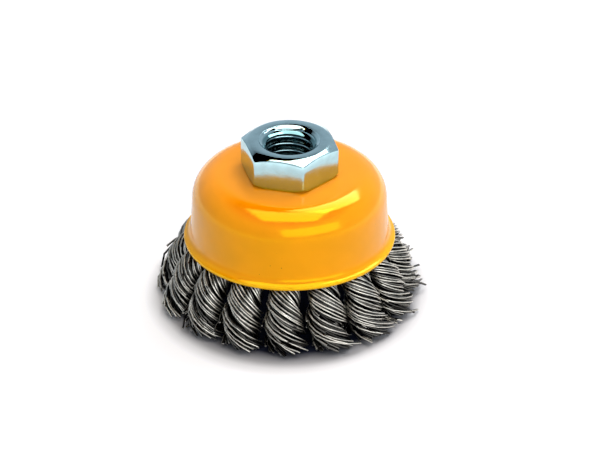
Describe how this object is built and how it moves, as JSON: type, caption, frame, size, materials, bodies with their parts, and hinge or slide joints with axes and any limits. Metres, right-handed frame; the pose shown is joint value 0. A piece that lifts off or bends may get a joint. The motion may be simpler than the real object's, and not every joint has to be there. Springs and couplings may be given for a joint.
{
  "type": "wire cup brush",
  "caption": "Twist-knot wire cup brush: painted pressed steel cup, hex nut with a through thread, and a ring of twisted steel wire knots that flare at the tips.",
  "frame": {"origin": "on the brush's axis, in the plane of the wire tips, where the brush stands", "axes": "+Z along the axis from the wire tips to the nut; the picture looks along +Y and down"},
  "size_m": [0.0684, 0.0684, 0.0435],
  "materials": {
    "enamel": "gloss yellow-orange stove enamel on pressed steel",
    "zinc_plate": "bright bluish zinc plating on a turned and milled nut",
    "plain_steel": "pressed sheet steel, dull",
    "wire": "drawn crimp-free steel wire, bright on its turns"
  },
  "bodies": {
    "root": {"cup": "enamel", "hex_nut": "zinc_plate", "knot_plate": "plain_steel", "knot_01": "wire", "knot_02": "wire", "knot_03": "wire", "knot_04": "wire", "knot_05": "wire", "knot_06": "wire", "knot_07": "wire", "knot_08": "wire", "knot_09": "wire", "knot_10": "wire", "knot_11": "wire", "knot_12": "wire", "knot_13": "wire", "knot_14": "wire", "knot_15": "wire", "knot_16": "wire"}
  },
  "joints": []
}
